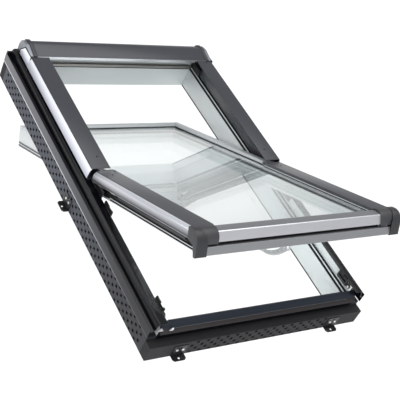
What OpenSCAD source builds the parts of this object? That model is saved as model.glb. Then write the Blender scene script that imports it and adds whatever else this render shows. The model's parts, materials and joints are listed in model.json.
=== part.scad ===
// Centre-pivot roof window, drawn with its sash part open.
// X runs to the right as seen from outside, Y up the roof slope, Z outwards.
// The origin is the middle of the four corner bracket holes, on the room-side plane of the frame.
// Sash parts are drawn closed and then turned about the pivot by sash_pose().

/* [Frame] */
// Outside width of the frame
frame_w = 740; // [600:10:1200]
// Outside height of the frame, up the slope
frame_h = 1180; // [900:10:1500]
// Thickness of a jamb
jamb_t = 30; // [28:1:50]
// Thickness of the head and of the sill
head_t = 19; // [17:1:40]
// Depth of the jambs
jamb_d = 120; // [118:1:126]
// Depth of the head, which carries the hood
head_d = 165; // [160:1:166]
// Depth of the sill at its inner edge
sill_d = 105; // [96:1:106]
// Fall of the sill towards its outer edge
sill_fall = 11; // [6:1:16]
// Height of the step that the seal lies on
step_z = 80; // [60:1:82]
// Width of that step
step_w = 12; // [12:1:14]

/* [Insulation] */
// Thickness of the foam collar
collar_t = 30; // [26:1:40]
// Height of the collar along the jambs and head
collar_side_h = 68; // [50:1:70]
// Height of the collar along the sill
collar_sill_h = 54; // [40:1:60]

/* [Sash] */
// Gap between the sash and the frame
sash_gap = 5; // [4.5:0.5:6]
// Width of a sash member
sash_leg = 43; // [38:1:60]
// Height of the sash's room face above the frame's room face, closed
sash_z = 90; // [88:1:92]
// Angle at which the sash stands open
open_angle = 28.4; // [0:0.1:60]
// Height of the pivot axis
pivot_z = 162; // [161:0.5:162.5]
// Distance of the pivot axis below the middle of the frame
pivot_drop = 43; // [20:1:80]

/* [Glass] */
// Thickness of each pane
pane_t = 4; // [3:0.5:4]
// Width of the gap between the panes
pane_gap = 16; // [12:1:16]
// How far the outer pane runs past the bottom rail
drip = 12; // [8:1:12]

/* [Covers] */
// Height of the top face of the side covers
cover_z = 170; // [170:0.5:171]
// Thickness of the aluminium covers
sheet = 1.6; // [1:0.1:1.6]
// Width of the glass line between the covers of the sash, at one side of the frame
cover_in = 78; // [71:1:79]
// Width of the upper covers
upper_in = 66; // [59:1:67]
// Height that the hood rises from its front edge to its ridge
hood_rise = 12; // [8:1:16]

/* [Pivot and lock] */
// Radius of the pivot pins
pin_r = 4; // [3:0.25:4.25]
// Running clearance round a pin
pin_clear = 0.06; // [0.02:0.01:0.1]
// Travel of the lock rods
lock_travel = 18; // [12:1:18]
// Radius of the locking bolts
bolt_r = 3.5; // [3:0.25:4]

/* [Brackets] */
// Radius of the fixing hole in each bracket foot
foot_hole_r = 3.5; // [2.5:0.25:4]
// Width of a bracket
bracket_w = 46; // [34:1:54]
// Reach of a bracket foot beyond the collar
foot_reach = 22; // [18:1:40]
// Distance of the head and sill brackets from the middle
bracket_x = 290; // [200:5:300]

/* [Hidden] */
$fn = 48;
frame_x = frame_w / 2;
frame_y = frame_h / 2;
in_x = frame_x - jamb_t;
in_y = frame_y - head_t;
wall_x = in_x + step_w;
sash_x = in_x - sash_gap;
sash_y = in_y - sash_gap;
pivot_y = -pivot_drop;
fit = 0.3;

// Sash levels, all for the closed sash
glass_top = 154;
unit_t = 2 * pane_t + pane_gap;
leg_z = glass_top - unit_t - 1;
lip_t = 12;
pane_x = sash_x - lip_t - 2;
pane_y = sash_y - lip_t - 2;
bead_top = 166;
bead_w = 29;
cover_x = frame_x - cover_in;
upper_x = frame_x - upper_in;
cover_out = frame_x + 1;
cover_start = pivot_y - 4;
cap_y = -sash_y + 15;
upper_end = pivot_y + 13;
hood_front = in_y - 62;
hood_back = frame_y + collar_t - 10;
hood_x = frame_x - 25;
cap_out = frame_x + 3;

// Places of the small screws in the covers, under their heads
upper_screw = [-(upper_x + cover_out) / 2 + 8, upper_end + 52, cover_z + 0.05];
lower_screws = [[-cover_x - 8, cover_start - 9, cover_z + 0.05], [-cover_out + 43, cover_start - 44, cover_z + 0.05]];
screw_hole_r = 1.4;

// Rebate strips that close on the step below the pivot
strip_x = sash_x + 10;
strip_z = [sash_z + 6, sash_z + 46];
strip_y = [-sash_y + 5, pivot_y - 72];
low_strip_y = [-sash_y - 17, -sash_y];
low_strip_z = [sash_z + 24, sash_z + 56];

// Lock
rod_w = 11;
rod_t = 2.4;
rod_z = sash_z + 28;
rod_y = [strip_y[0] + 26, strip_y[1] - 30];
bolt_y = [rod_y[0] + 6, rod_y[1] - 12];
low_rod_z = low_strip_z[0] + 9;
low_rod_x = [8, pane_x - 26];
spindle_y = -sash_y + 21;
spindle_r = 5;
gear_x = 30;
gear_z = [sash_z + 10, sash_z + 37];

// Cladding
outer_x = frame_x + collar_t + 4;
ridge_x = frame_x + 14;
clad_top = 103;
collar_x = frame_x + collar_t;
collar_y = frame_y + collar_t;
bracket_mid_y = pivot_y + 23;

// ---------- helpers ----------

// A bar along X whose section is drawn as [distance in Y, height]
module bar_x(length, section) {
    rotate([90, 0, 90]) linear_extrude(length, center = true) polygon(section);
}

// A bar along Y between two ends, whose section is drawn as [x, height]
module bar_y(ends, section) {
    translate([0, ends[1], 0]) rotate([90, 0, 0]) linear_extrude(ends[1] - ends[0]) polygon(section);
}

// A box given by its two ends on each axis
module block(x, y, z) {
    translate([x[0], y[0], z[0]]) cube([x[1] - x[0], y[1] - y[0], z[1] - z[0]]);
}

// Everything past a 45 degree plane at one end of a bar along X
module mitre_cut(length) {
    for (side = [0, 1])
        mirror([side, 0, 0])
            translate([length / 2, 0, 0]) rotate([0, 0, 45])
                translate([0, -200, -1]) cube([200, 400, 400]);
}

// A mitred bar along X: the section's first number runs inwards from the outer edge
module mitred(length, section) {
    difference() {
        bar_x(length, section);
        mitre_cut(length);
    }
}

// Places a bar that was drawn for the bottom edge on one of the four edges
module on_bottom(half) { translate([0, -half, 0]) children(); }
module on_top(half) { mirror([0, 1, 0]) on_bottom(half) children(); }
module on_left(half) { rotate([0, 0, -90]) on_bottom(half) children(); }
module on_right(half) { rotate([0, 0, 90]) on_bottom(half) children(); }

// Turns a closed sash part to the angle at which the sash stands open
module sash_pose() {
    translate([0, pivot_y, pivot_z]) rotate([-open_angle, 0, 0])
        translate([0, -pivot_y, -pivot_z]) children();
}

// Draws the part for the left side; side 1 draws the right one
module sided(side) { mirror([side, 0, 0]) children(); }

// A screw whose head lies on z = 0 and whose shank runs down
module screw(head_r, shank_r, length) {
    cylinder(r1 = head_r, r2 = head_r * 0.7, h = 2);
    translate([0, 0, -length]) cylinder(r = shank_r, h = length);
}

// Points along an arc from one angle to another
function arc(cy, cz, r, from, to, steps = 10) =
    [for (i = [0:steps]) let (a = from + (to - from) * i / steps) [cy + r * cos(a), cz + r * sin(a)]];

// ---------- frame ----------

module frame_head() {
    color("whitesmoke") on_top(frame_y)
        bar_x(frame_w, [[0, 0], [head_t, 0], [head_t, step_z], [head_t - step_w, step_z],
            [head_t - step_w, head_d], [0, head_d]]);
}

module frame_sill() {
    color("whitesmoke") on_bottom(frame_y)
        bar_x(frame_w, [[0, 0], [head_t, 0], [head_t, sill_d], [0, sill_d - sill_fall]]);
}

module frame_jamb(side) {
    color("whitesmoke") sided(side)
        bar_y([-in_y, in_y], [[-frame_x, 0], [-in_x, 0], [-in_x, step_z], [-wall_x, step_z],
            [-wall_x, jamb_d], [-frame_x, jamb_d]]);
}

// Bulb seal that lies on the step of the jambs and the head
module frame_seal() {
    seal = [[-in_x + 2, step_z + fit], [-in_x + 2, step_z + 5], [-in_x - 3, step_z + 15],
        [-wall_x + 2, step_z + 15], [-wall_x + fit, step_z + 6], [-wall_x + fit, step_z + fit]];
    color("black") {
        for (side = [0, 1])
            sided(side) bar_y([-in_y + 3, in_y - 3], seal);
        on_top(in_y)
            bar_x(2 * in_x - 8, [[-step_w + fit, step_z + fit], [2, step_z + fit], [2, step_z + 5],
                [-3, step_z + 15], [-step_w + 2, step_z + 15], [-step_w + fit, step_z + 6]]);
    }
}

// ---------- foam collar ----------

module collar_end(y_side, height) {
    color("dimgray") mirror([0, y_side, 0])
        difference() {
            block([-collar_x, collar_x], [-collar_y, -frame_y - fit], [0, height]);
            for (x = [-bracket_x, bracket_x])
                bracket_bores([x, -collar_y, 0], 0);
        }
}

module collar_side(side) {
    color("dimgray") sided(side)
        difference() {
            block([-collar_x, -frame_x - fit], [-frame_y + fit, frame_y - fit], [0, collar_side_h]);
            bracket_bores([-collar_x, bracket_mid_y, 0], -90);
        }
}

// ---------- outer cladding ----------

// Rain channel along one jamb: a folded sheet with a ridge, a floor and an outer wall
module side_channel(side) {
    color("black") sided(side) {
        top = jamb_d + sheet + fit;
        difference() {
            bar_y([-frame_y - 2, collar_y - 6],
                [[-wall_x - 2, jamb_d + fit], [-wall_x - 2, top], [-ridge_x, top],
                    [-ridge_x - 6, clad_top - 6], [-outer_x + sheet, clad_top - 12],
                    [-outer_x + sheet, clad_top], [-outer_x, clad_top], [-outer_x, collar_side_h + fit],
                    [-outer_x + sheet, collar_side_h + fit], [-outer_x + sheet, clad_top - 14],
                    [-ridge_x - 6, clad_top - 8], [-frame_x - fit, clad_top - 2], [-frame_x - fit, jamb_d + fit]]);
            block([-frame_x - fit, 0], [in_y - fit, collar_y], [step_z, head_d]);
            block([-ridge_x - 1, 0], [frame_y + 2, collar_y], [step_z, head_d]);
            block([-frame_x - fit, 0], [-frame_y - 10, -in_y - fit], [step_z, jamb_d + 10]);
        }
    }
}

// Gutter behind the head, between the two side channels
module head_channel() {
    floor_z = clad_top - 13;
    color("black") on_top(frame_y)
        bar_x(frame_w, [[-fit, floor_z], [-fit, clad_top], [-fit - sheet, clad_top], [-fit - sheet, floor_z + sheet],
            [-24 + sheet, floor_z + sheet], [-24 + sheet, clad_top], [-24, clad_top], [-24, floor_z]]);
}

// Folded sheet over the sill with a nose that throws the water over the collar
module sill_cladding() {
    top_in = sill_d + fit;
    top_out = sill_d - sill_fall + fit;
    color("midnightblue") on_bottom(frame_y) {
        bar_x(frame_w - 2, [[head_t, top_in], [head_t, top_in + sheet], [-1, top_out + sheet - 1],
            [-10, top_out - 12], [-10 + sheet, top_out - 14], [-fit, top_out - 2], [-fit, top_out]]);
        bar_x(2 * in_x - 2, [[head_t - 2, top_in], [head_t + fit, top_in], [head_t + fit, step_z],
            [head_t + fit + sheet, step_z], [head_t + fit + sheet, top_in + sheet], [head_t - 2, top_in + sheet]]);
    }
}

// ---------- hood ----------

// Outline of the hood's section in Y and Z, from its front lip over its ridge to its back edge
function hood_line(inset) =
    let (top = cover_z + hood_rise - inset, r = 44 - inset, back = hood_back - inset,
        face_end = hood_back - 44)
    concat([[hood_front + inset, cover_z - 10], [hood_front + inset, cover_z + 1 - inset * 0.8]],
        arc(face_end, top - r, r, 98, 0, 12), [[back, 116]]);

module hood() {
    inner = hood_line(sheet + 0.4);
    lip_x = sash_x - bead_w - 6;
    color("dimgray")
        difference() {
            bar_x(2 * hood_x, concat(hood_line(0), [for (i = [len(inner) - 1:-1:0]) inner[i]]));
            for (side = [0, 1])
                sided(side) block([-hood_x - 1, -lip_x], [hood_front - 1, hood_front + 4], [cover_z - 20, bead_top + 1]);
        }
}

// Moulded end of the hood
module hood_cap(side) {
    color("darkslategray") sided(side)
        translate([-(hood_x + cap_out) / 2 - fit / 2, 0, 0])
            difference() {
                bar_x(cap_out - hood_x - fit, concat(hood_line(-1.5), [[frame_y + 4, 116]],
                    [[frame_y + 2, cover_z - 4], [hood_front + 2, cover_z - 12]]));
                translate([4, 0, 0])
                    bar_x(cap_out - hood_x - fit, concat([[hood_front + 8, cover_z - 20]],
                        [for (p = hood_line(4)) if (p[0] > hood_front + 6) p], [[frame_y + 7, 100], [frame_y + 5, cover_z - 12]]));
            }
}

// ---------- upper half, fixed to the frame ----------

// Outer stop above the pivot, a hollow section that stands on the jamb
module upper_stop(side) {
    z0 = jamb_d + sheet + 2 * fit;
    z1 = cover_z - sheet - fit;
    color("dimgray") sided(side)
        difference() {
            union() {
                block([-cover_out + 2, -in_x - 5], [upper_end + 2, hood_front - 2], [z0, z1]);
                block([-wall_x + 1, -in_x - 5], [upper_end + 2, hood_front - 2], [step_z + 17, z0 + 1]);
            }
            block([-cover_out + 4, -in_x - 7], [upper_end, hood_front], [z0 + 2, z1 - 2]);
        }
}

module upper_cover(side) {
    color("dimgray") sided(side)
        difference() {
            bar_y([upper_end, hood_front - 2],
                [[-upper_x, cover_z], [-upper_x, cover_z - 3], [-upper_x - sheet, cover_z - 3],
                    [-upper_x - sheet, cover_z - sheet], [-cover_out + sheet, cover_z - sheet],
                    [-cover_out - 4 + sheet, 128], [-cover_out - 4, 128], [-cover_out, cover_z]]);
            translate(upper_screw) cylinder(r = screw_hole_r, h = 20, center = true);
        }
}

module upper_cover_screws() {
    color("black")
        for (side = [0, 1])
            sided(side) translate(upper_screw) screw(3.2, 1.2, 1.3);
}

// Steel plate on the jamb that carries the pivot pin
module hinge_plate(side) {
    x0 = -wall_x + fit;
    color("black") sided(side)
        difference() {
            union() {
                block([x0, x0 + 4.5], [pivot_y - 60, pivot_y + 8], [step_z + 18, jamb_d + 24]);
                block([x0, x0 + 4.5], [pivot_y - 22, pivot_y + 5], [jamb_d + 20, pivot_z]);
                translate([x0, pivot_y, pivot_z]) rotate([0, 90, 0]) cylinder(r = pin_r + 2, h = 4.5);
            }
            translate([x0 - 1, pivot_y, pivot_z]) rotate([0, 90, 0]) cylinder(r = pin_r + pin_clear, h = 7);
            for (y = [-48, -30])
                translate([x0 - 1, pivot_y + y, step_z + 29]) rotate([0, 90, 0]) cylinder(r = 2.2, h = 7);
        }
}

// Friction washers on the pins
module pivot_washers() {
    color("dimgray")
        for (side = [0, 1])
            sided(side) translate([-sash_x - 3.4 - 7, pivot_y, pivot_z]) rotate([0, 90, 0])
                difference() {
                    cylinder(r = pin_r + 1.8, h = 6.8);
                    translate([0, 0, -1]) cylinder(r = pin_r + pin_clear, h = 9);
                }
}

// Keeps on the jambs: each lets its bolt in from outside and holds it after it has slid up
module lock_keeps() {
    color("black")
        for (side = [0, 1], y = bolt_y)
            sided(side) difference() {
                block([-wall_x + fit, -wall_x + 6.2], [y - 20, y + lock_travel + 12], [rod_z - 14, rod_z + 12]);
                block([-wall_x + 1.5, -wall_x + 7], [y - bolt_r - 9, y + bolt_r + 1.5], [rod_z - bolt_r - 1, rod_z + 13]);
                block([-wall_x + 1.5, -wall_x + 7], [y - bolt_r - 9, y + lock_travel + bolt_r + 1.5],
                    [rod_z - bolt_r - 1, rod_z + bolt_r + 1]);
            }
}

// ---------- brackets ----------

// Holes for the two screws of a bracket; a bracket points down the slope and is turned into place
module bracket_bores(place, turn) {
    translate(place) rotate([0, 0, turn])
        for (x = [-10, 10])
            translate([x, -5, 26]) rotate([-90, 0, 0]) cylinder(r = 2.8, h = collar_t + 10);
}

module bracket(place, turn) {
    plate = 2;
    translate(place) rotate([0, 0, turn])
        difference() {
            union() {
                block([-bracket_w / 2, bracket_w / 2], [-plate - 0.2, -0.2], [0, 44]);
                linear_extrude(plate)
                    polygon([[-bracket_w / 2, -0.2], [bracket_w / 2, -0.2], [bracket_w / 2, -foot_reach + 6],
                        [bracket_w / 2 - 6, -foot_reach], [-bracket_w / 2 + 6, -foot_reach],
                        [-bracket_w / 2, -foot_reach + 6]]);
            }
            translate([0, -foot_reach / 2 - 2, -1]) cylinder(r = foot_hole_r, h = plate + 2);
            for (x = [-10, 10])
                translate([x, -5, 26]) rotate([-90, 0, 0]) cylinder(r = 2.8, h = 10);
            block([-3, 3], [-4, 1], [33, 40]);
        }
}

// Each bracket's place and how far it is turned
bracket_places = [
    [[-bracket_x, -collar_y, 0], 0], [[bracket_x, -collar_y, 0], 0],
    [[-bracket_x, collar_y, 0], 180], [[bracket_x, collar_y, 0], 180],
    [[-collar_x, bracket_mid_y, 0], -90], [[collar_x, bracket_mid_y, 0], 90]];

module brackets() {
    color("darkslategray")
        for (b = bracket_places)
            bracket(b[0], b[1]);
}

module bracket_screws() {
    color("silver")
        for (b = bracket_places, x = [-10, 10])
            translate(b[0]) rotate([0, 0, b[1]])
                translate([x, -2.4, 26]) rotate([90, 0, 0]) screw(5, 2.4, collar_t + 2.3);
}

// ---------- sash ----------

sash_section = [[0, sash_z], [sash_leg, sash_z], [sash_leg, leg_z], [lip_t, leg_z],
    [lip_t, glass_top + 4], [0, glass_top + 4]];

module sash_stile(side) {
    color("whitesmoke") sash_pose() sided(side) on_left(sash_x) mitred(2 * sash_y, sash_section);
}

module sash_top_rail() {
    color("whitesmoke") sash_pose() on_top(sash_y) mitred(2 * sash_x, sash_section);
}

// The bottom rail stays under the outer pane, which runs out over it, and holds the lock gear
module sash_bottom_rail() {
    color("whitesmoke") sash_pose()
        difference() {
            on_bottom(sash_y)
                mitred(2 * sash_x, [[0, sash_z], [sash_leg, sash_z], [sash_leg, leg_z], [lip_t, leg_z],
                    [lip_t, glass_top - pane_t - 1], [0, glass_top - pane_t - 1]]);
            block([-gear_x - fit, gear_x + fit], [-sash_y - 1, spindle_y + 10 + fit], [gear_z[0] - fit, gear_z[1] + fit]);
            translate([0, spindle_y, sash_z - 1]) cylinder(r = spindle_r + 1, h = 14);
        }
}

// Strip on the stile that closes on the seal below the pivot; the lock rod slides in its groove
module rebate_strip(side) {
    color("black") sash_pose() sided(side)
        difference() {
            block([-strip_x, -sash_x - 0.05], strip_y, strip_z);
            block([-strip_x - 1, -strip_x + rod_t + 0.5], [strip_y[0] - 1, strip_y[1] + 1],
                [rod_z - rod_w / 2 - 0.2, rod_z + rod_w / 2 + 0.2]);
        }
}

// Strip on the bottom rail, cut out round the lock gear and grooved for the two bottom rods
module rebate_strip_bottom() {
    color("black") sash_pose()
        difference() {
            block([-pane_x + 6, pane_x - 6], [low_strip_y[0], low_strip_y[1] - 0.05], low_strip_z);
            block([-gear_x - fit, gear_x + fit], [low_strip_y[0] - 1, low_strip_y[1] + 1], [low_strip_z[0] - 1, gear_z[1] + fit]);
            block([-pane_x, pane_x], [low_strip_y[0] - 1, low_strip_y[0] + rod_t + 0.5],
                [low_rod_z - rod_w / 2 - 0.2, low_rod_z + rod_w / 2 + 0.2]);
        }
}

module outer_pane() {
    color("lightcyan", 0.4) sash_pose()
        block([-pane_x, pane_x], [-sash_y - drip, pane_y], [glass_top - pane_t, glass_top]);
}

module inner_pane() {
    color("lightcyan", 0.4) sash_pose()
        block([-pane_x, pane_x], [-pane_y, pane_y], [glass_top - unit_t, glass_top - unit_t + pane_t]);
}

// A rectangular ring between two outlines
module ring(outer, inner, z) {
    difference() {
        block([-outer[0], outer[0]], [-outer[1], outer[1]], z);
        block([-inner[0], inner[0]], [-inner[1], inner[1]], [z[0] - 1, z[1] + 1]);
    }
}

cavity_z = [glass_top - unit_t + pane_t, glass_top - pane_t];

module spacer_bar() {
    color("silver") sash_pose()
        ring([pane_x - 6, pane_y - 6], [pane_x - 14, pane_y - 14], cavity_z);
}

module edge_sealant() {
    color("black") sash_pose()
        ring([pane_x, pane_y], [pane_x - 6, pane_y - 6], cavity_z);
}

module inner_gasket() {
    color("black") sash_pose()
        ring([pane_x, pane_y], [sash_x - sash_leg + 3, sash_y - sash_leg + 3], [leg_z, leg_z + 1]);
}

bead_section = [[0, glass_top + 4], [lip_t, glass_top + 4], [lip_t, glass_top + 1], [bead_w, glass_top + 1],
    [bead_w, glass_top + 7], [bead_w - 6, bead_top], [0, bead_top]];

// Strip of rubber under the edge of the beads, where they press on the glass
module outer_gasket() {
    color("black") sash_pose() {
        gasket = [[lip_t + 4, glass_top], [bead_w + 4, glass_top], [bead_w + 4, glass_top + 3],
            [bead_w, glass_top + 3], [bead_w, glass_top + 1], [lip_t + 4, glass_top + 1]];
        on_left(sash_x) mitred(2 * sash_y, gasket);
        on_right(sash_x) mitred(2 * sash_y, gasket);
        on_top(sash_y) mitred(2 * sash_x, gasket);
    }
}

module bead_side(side) {
    color("gainsboro") sash_pose() sided(side) on_left(sash_x) mitred(2 * sash_y, bead_section);
}

module bead_top_bar() {
    color("gainsboro") sash_pose() on_top(sash_y) mitred(2 * sash_x, bead_section);
}

// Clips between the beads and the lower covers
module cover_clips() {
    color("black") sash_pose()
        for (side = [0, 1], i = [0:3])
            sided(side) translate([-sash_x + 2, cover_start - 40 + (cap_y + 60 - cover_start) * i / 3, bead_top])
                cube([20, 24, cover_z - sheet - bead_top]);
}

module lower_cover(side) {
    color("dimgray") sash_pose() sided(side)
        difference() {
            bar_y([cap_y + fit, cover_start],
                [[-cover_x, cover_z], [-cover_x, glass_top + 0.5], [-cover_x - sheet, glass_top + 0.5],
                    [-cover_x - sheet, cover_z - sheet], [-cover_out + sheet, cover_z - sheet],
                    [-cover_out - 1 + sheet, 137], [-cover_out - 1, 137], [-cover_out, cover_z]]);
            for (p = lower_screws)
                translate(p) cylinder(r = screw_hole_r, h = 20, center = true);
        }
}

module lower_cover_screws() {
    color("black") sash_pose()
        for (side = [0, 1], p = lower_screws)
            sided(side) translate(p) screw(2.4, 1.2, 1.3);
}

// Section of the bottom cover, from its lip on the glass round to its back
bottom_line = [[-sash_y - 5, glass_top + 0.5], [-sash_y - 5, bead_top], [-sash_y - 33, 160],
    [-sash_y - 38, 155], [-sash_y - 40, 131], [-sash_y - 33, 129], [-sash_y - 33, 122],
    [-sash_y - 43, 121], [-sash_y - 48, 99], [-sash_y - 45, 99], [-sash_y - 40, 118],
    [-sash_y - 18, 118], [-sash_y - 18, 146], [-sash_y - 13, 149], [-sash_y - 13, glass_top + 0.5]];
bottom_hollow = [[-sash_y - 8, glass_top + 3], [-sash_y - 8, bead_top - 3], [-sash_y - 32, 157.5],
    [-sash_y - 36, 153], [-sash_y - 37.5, 133], [-sash_y - 30, 131], [-sash_y - 30, 121],
    [-sash_y - 21, 121], [-sash_y - 21, 148], [-sash_y - 15.5, 151], [-sash_y - 15.5, glass_top + 3]];

module bottom_cover() {
    color("silver") sash_pose()
        difference() {
            bar_x(2 * (cover_x + 6), bottom_line);
            bar_x(2 * cover_x + 20, bottom_hollow);
        }
}

// Moulded corner of the sash: it caps the side cover and the bottom cover
module cap(side) {
    wall = 3;
    under = bead_top + fit;
    outline = concat([[cap_y, cover_z + 1.5]], arc(-sash_y - 20, cover_z - 28.5, 30, 90, 180, 8),
        [[-sash_y - 52, 96], [-sash_y - 44, 96]]);
    color("darkslategray") sash_pose() sided(side) {
        translate([-(cover_out + cover_x + 8) / 2, 0, 0])
            bar_x(cover_out - cover_x - 4, concat([[cap_y, under]], outline,
                [[-sash_y - 42, 117], [-sash_y - 30, 119], [-sash_y - 26, 155], [-sash_y - 1, 158],
                    [-sash_y - 1, under]]));
        translate([-cover_out - 2 + wall / 2, 0, 0])
            bar_x(wall, concat([[cap_y, 137]], outline, [[-sash_y - 32, 126]]));
    }
}

// Plate on the side of the sash with the pivot pin
module sash_hinge(side) {
    color("black") sash_pose() sided(side) {
        block([-sash_x - 3, -sash_x - 0.05], [pivot_y - 66, pivot_y + 24], [sash_z + 8, pivot_z - 9]);
        translate([-sash_x - 3, pivot_y, pivot_z]) rotate([0, 90, 0]) cylinder(r = pin_r + 2, h = 3 - 0.05);
        block([-sash_x - 3, -sash_x - 0.05], [pivot_y - 5, pivot_y + 5], [pivot_z - 10, pivot_z - 2]);
        translate([-wall_x + 1, pivot_y, pivot_z]) rotate([0, 90, 0]) cylinder(r = pin_r, h = wall_x - sash_x - 2);
    }
}

// ---------- lock and handle ----------

module lock_gearbox() {
    y0 = low_strip_y[0] + 1;
    color("silver") sash_pose()
        difference() {
            union() {
                block([-gear_x, gear_x], [-sash_y, spindle_y + 10], gear_z);
                block([-gear_x, gear_x], [y0, -sash_y + 1], [low_strip_z[0], gear_z[1]]);
            }
            translate([0, spindle_y, gear_z[0] - 1]) cylinder(r = spindle_r + 0.1, h = 20);
            block([-gear_x - 1, gear_x + 1], [y0 - 1, y0 + 6],
                [low_rod_z - rod_w / 2 - 0.4, low_rod_z + rod_w / 2 + 0.4]);
        }
}

module bottom_rod(side) {
    color("silver") sash_pose() sided(side)
        block([-low_rod_x[1], -low_rod_x[0]], [low_strip_y[0] + 0.2, low_strip_y[0] + 0.2 + rod_t],
            [low_rod_z - rod_w / 2, low_rod_z + rod_w / 2]);
}

module stile_rod(side) {
    color("silver") sash_pose() sided(side) {
        block([-strip_x + 0.2, -strip_x + 0.2 + rod_t], rod_y, [rod_z - rod_w / 2, rod_z + rod_w / 2]);
        for (y = bolt_y)
            translate([-wall_x + 2.4, y, rod_z]) rotate([0, 90, 0]) cylinder(r = bolt_r, h = 6);
    }
}

module handle_rose() {
    color("silver") sash_pose()
        translate([0, spindle_y, sash_z - 7])
            difference() {
                cylinder(r = 16, h = 7);
                translate([0, 0, -1]) cylinder(r = spindle_r + 0.1, h = 10);
            }
}

// Lever that bows away from the rail and comes back to it
module handle() {
    bow = 87;
    half = 44;
    centre = sash_z + 47;
    color("silver") sash_pose() translate([0, spindle_y, 0]) {
        translate([0, 0, sash_z - 30]) cylinder(r = spindle_r, h = 46);
        translate([0, 0, sash_z - 31]) cylinder(r = 10, h = 23.5);
        difference() {
            translate([-half, 9, centre]) rotate([90, 0, 0])
                difference() {
                    cylinder(r = bow, h = 18, $fn = 96);
                    translate([0, 0, -1]) cylinder(r = bow - 10, h = 20, $fn = 96);
                }
            block([-300, 300], [-30, 30], [sash_z - 25, 400]);
        }
    }
}

frame_head();
frame_sill();
frame_jamb(0);  // frame_jamb_left
frame_jamb(1);  // frame_jamb_right
frame_seal();
collar_end(1, collar_side_h);  // collar_head
collar_end(0, collar_sill_h);  // collar_sill
collar_side(0);  // collar_left
collar_side(1);  // collar_right
side_channel(0);  // side_channel_left
side_channel(1);  // side_channel_right
head_channel();
sill_cladding();
hood();
hood_cap(0);  // hood_cap_left
hood_cap(1);  // hood_cap_right
upper_stop(0);  // upper_stop_left
upper_stop(1);  // upper_stop_right
upper_cover(0);  // upper_cover_left
upper_cover(1);  // upper_cover_right
hinge_plate(0);  // hinge_plate_left
hinge_plate(1);  // hinge_plate_right
pivot_washers();
lock_keeps();
brackets();
bracket_screws();
upper_cover_screws();
sash_stile(0);  // sash_stile_left
sash_stile(1);  // sash_stile_right
sash_top_rail();
sash_bottom_rail();
rebate_strip(0);  // rebate_strip_left
rebate_strip(1);  // rebate_strip_right
rebate_strip_bottom();
outer_pane();
inner_pane();
spacer_bar();
edge_sealant();
inner_gasket();
outer_gasket();
bead_side(0);  // bead_left
bead_side(1);  // bead_right
bead_top_bar();  // bead_top
cover_clips();
lower_cover(0);  // lower_cover_left
lower_cover(1);  // lower_cover_right
bottom_cover();
cap(0);  // cap_left
cap(1);  // cap_right
sash_hinge(0);  // sash_hinge_left
sash_hinge(1);  // sash_hinge_right
lower_cover_screws();
lock_gearbox();
handle_rose();
handle();
bottom_rod(0);  // bottom_rod_left
bottom_rod(1);  // bottom_rod_right
stile_rod(0);  // stile_rod_left
stile_rod(1);  // stile_rod_right
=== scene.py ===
# %% [markdown]
# # A centre-pivot roof window
# This script dresses a CAD model of a roof window. A fixed frame sits in the roof, and a glazed sash
# turns in it on two pins half way up. The CAD gives every part its true size and place. Here the parts
# get soft edges, finishes and the small shapes that catch light. The scene is in metres, and outlines are
# written in millimetres. X runs to the right seen from outside, Y up the slope of the roof and Z outwards.

import json
import math

import bpy
from mathutils import Matrix, Vector


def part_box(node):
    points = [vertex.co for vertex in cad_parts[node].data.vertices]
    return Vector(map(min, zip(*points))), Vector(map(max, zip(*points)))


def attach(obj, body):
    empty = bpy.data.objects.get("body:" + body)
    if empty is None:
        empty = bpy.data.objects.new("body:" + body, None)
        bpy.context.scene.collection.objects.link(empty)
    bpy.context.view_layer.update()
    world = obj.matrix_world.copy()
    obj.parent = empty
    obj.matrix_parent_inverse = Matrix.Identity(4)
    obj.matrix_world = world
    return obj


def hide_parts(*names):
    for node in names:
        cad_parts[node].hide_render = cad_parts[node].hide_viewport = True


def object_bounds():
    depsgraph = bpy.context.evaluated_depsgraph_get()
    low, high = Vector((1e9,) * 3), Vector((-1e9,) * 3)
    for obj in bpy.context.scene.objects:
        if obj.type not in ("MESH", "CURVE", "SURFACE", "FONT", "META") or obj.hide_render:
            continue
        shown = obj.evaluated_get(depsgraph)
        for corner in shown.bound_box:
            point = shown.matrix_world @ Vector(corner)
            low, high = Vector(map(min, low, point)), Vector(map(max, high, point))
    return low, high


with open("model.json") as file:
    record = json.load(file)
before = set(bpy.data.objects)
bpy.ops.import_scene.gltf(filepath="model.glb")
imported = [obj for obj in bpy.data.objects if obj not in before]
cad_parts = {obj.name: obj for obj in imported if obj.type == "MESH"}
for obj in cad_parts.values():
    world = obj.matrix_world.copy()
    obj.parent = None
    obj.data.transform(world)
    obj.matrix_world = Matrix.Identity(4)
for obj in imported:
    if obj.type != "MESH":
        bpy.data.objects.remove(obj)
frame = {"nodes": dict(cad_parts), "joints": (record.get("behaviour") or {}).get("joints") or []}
cad_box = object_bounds()
MM = 0.001
FRAME, SASH, LEVER = "frame", "sash", "lever"
SIDES = (("left", -1), ("right", 1))
print("CAD nodes:", len(frame["nodes"]))

# %% [markdown]
# The sash stands open in the rest pose. Its parts are far easier to build lying flat in the closed
# frame, so each one is made closed and then turned about the pivot. The pivot's place and the angle
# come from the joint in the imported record, so the pieces can't drift away from the CAD.

# %% The turn from closed to open
pivot_joint = next(j for j in frame["joints"] if j["name"] == "sash_pivot")
pivot = Vector(pivot_joint["pos_m"])
open_angle = -math.radians(pivot_joint["range_deg"][0])
TILT = Matrix.Translation(pivot) @ Matrix.Rotation(-open_angle, 4, "X") @ Matrix.Translation(-pivot)


def closed_box(node):
    """Lowest and highest corner of a sash node with the sash shut, in millimetres."""
    back = TILT.inverted()
    corners = [back @ v.co for v in frame["nodes"][node].data.vertices]
    low = [min(c[i] for c in corners) / MM for i in range(3)]
    high = [max(c[i] for c in corners) / MM for i in range(3)]
    return low, high


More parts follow.
